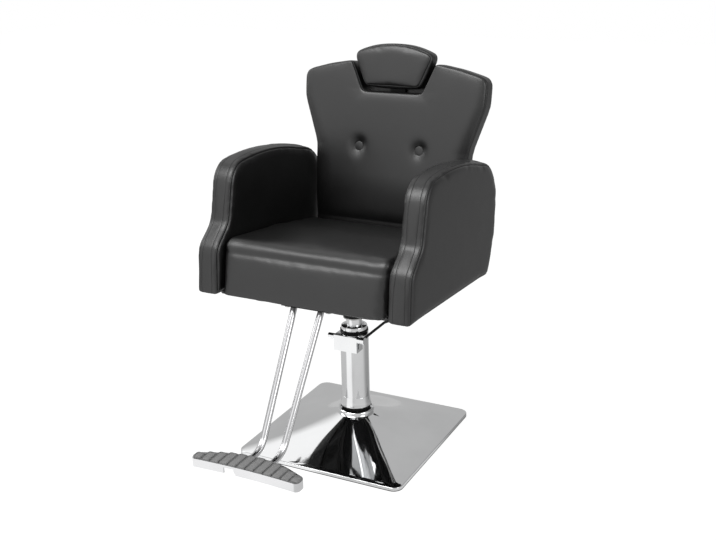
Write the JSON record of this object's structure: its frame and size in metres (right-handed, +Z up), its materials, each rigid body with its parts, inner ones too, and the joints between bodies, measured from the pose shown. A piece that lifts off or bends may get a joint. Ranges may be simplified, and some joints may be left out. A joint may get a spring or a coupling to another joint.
{
  "type": "threading chair",
  "caption": "Padded salon chair with arms on a square hydraulic pump base, with a reclining buttoned back, a sliding headrest and a footrest on tubes.",
  "frame": {"origin": "on the floor at the middle of the square base, on the axis of the pump column", "axes": "+Z up; the sitter faces -Y; +X is the sitter's left"},
  "size_m": [0.5782, 0.8333, 0.9734],
  "materials": {
    "chrome": "polished",
    "upholstery": "satin",
    "rubber_grey": "matt",
    "rubber_black": "matt",
    "black_steel": "satin",
    "bright_steel": "zinc plated",
    "plywood": "raw",
    "cloth": "woven",
    "plate_iron": "raw"
  },
  "bodies": {
    "base": {"base_pad": "rubber_black", "base_plate": "plate_iron", "base_cover": "chrome", "neck_ring": "chrome", "pump_flange": "plate_iron", "flange_bolts": "bright_steel", "pump_column": "chrome", "column_collar": "chrome", "pressure_cylinder": "bright_steel", "column_cap": "chrome", "wiper_seal": "rubber_black", "pump_head": "chrome"},
    "foot_lever": {"lever_axle": "bright_steel", "lever_hub": "chrome", "lever_rod": "black_steel", "pedal_plate": "black_steel", "pedal_rubber": "rubber_black"},
    "ram": {"ram_rod": "chrome", "piston": "bright_steel", "piston_seal": "rubber_black", "thrust_washer": "bright_steel"},
    "seat": {"seat_socket": "black_steel", "mount_plate": "black_steel", "board_bolts": "bright_steel", "seat_board": "plywood", "dust_cover": "cloth", "seat_cushion": "upholstery", "arm_bolts": "bright_steel", "arm_cores": "plywood", "arm_inner_panels": "upholstery", "arm_outer_panels": "upholstery", "arm_band_left": "upholstery", "arm_band_right": "upholstery", "hinge_brackets": "black_steel", "spring_cylinder": "black_steel", "release_brackets": "black_steel", "foot_plate": "black_steel", "foot_tubes": "chrome", "foot_tray": "chrome", "foot_pad": "rubber_grey"},
    "release": {"release_lever": "bright_steel", "release_grip": "rubber_black"},
    "gas_spring_rod": {"spring_rod": "bright_steel", "spring_yoke": "bright_steel"},
    "back": {"back_brackets": "black_steel", "pivot_pins": "bright_steel", "bracket_screws": "bright_steel", "cross_tube": "black_steel", "spring_lever": "black_steel", "back_cushion": "upholstery", "back_buttons": "upholstery", "back_board": "plywood", "back_edge_band": "upholstery", "back_rear_panel": "upholstery", "headrest_guide": "bright_steel"},
    "headrest": {"headrest_cushion": "upholstery", "headrest_board": "upholstery", "headrest_bar": "bright_steel", "bar_screws": "bright_steel"}
  },
  "joints": [
    {"name": "foot_lever_hinge", "type": "hinge", "parent": "base", "child": "foot_lever", "pos_m": [0, -0.0435, 0.286], "axis": [-1, 0, 0], "range_deg": [0, 14], "stiffness_Nm_per_rad": 20, "springref_deg": -28.65},
    {"name": "lift", "type": "slide", "parent": "base", "child": "ram", "axis": [0, 0, 1], "range_m": [0, 0.15]},
    {"name": "seat_swivel", "type": "hinge", "parent": "ram", "child": "seat", "pos_m": [0, 0, 0.34], "axis": [0, 0, 1], "continuous": true},
    {"name": "recline", "type": "hinge", "parent": "seat", "child": "back", "pos_m": [0, 0.20043, 0.44969], "axis": [-1, 0, 0], "range_deg": [0, 40]},
    {"name": "gas_spring_slide", "type": "slide", "parent": "seat", "child": "gas_spring_rod", "axis": [0, -0.9976, 0.0692], "range_m": [0, 0.0518]},
    {"name": "headrest_slide", "type": "slide", "parent": "back", "child": "headrest", "axis": [0, 0.1582, 0.9874], "range_m": [0, 0.09]},
    {"name": "release_hinge", "type": "hinge", "parent": "seat", "child": "release", "pos_m": [-0.2, 0.01891, 0.40515], "axis": [-1, 0, 0], "range_deg": [0, 18], "stiffness_Nm_per_rad": 2, "springref_deg": -28.65}
  ],
  "couplings": [
    {"joint": "gas_spring_slide", "follows": "recline", "m_per_rad": 0.073486}
  ]
}
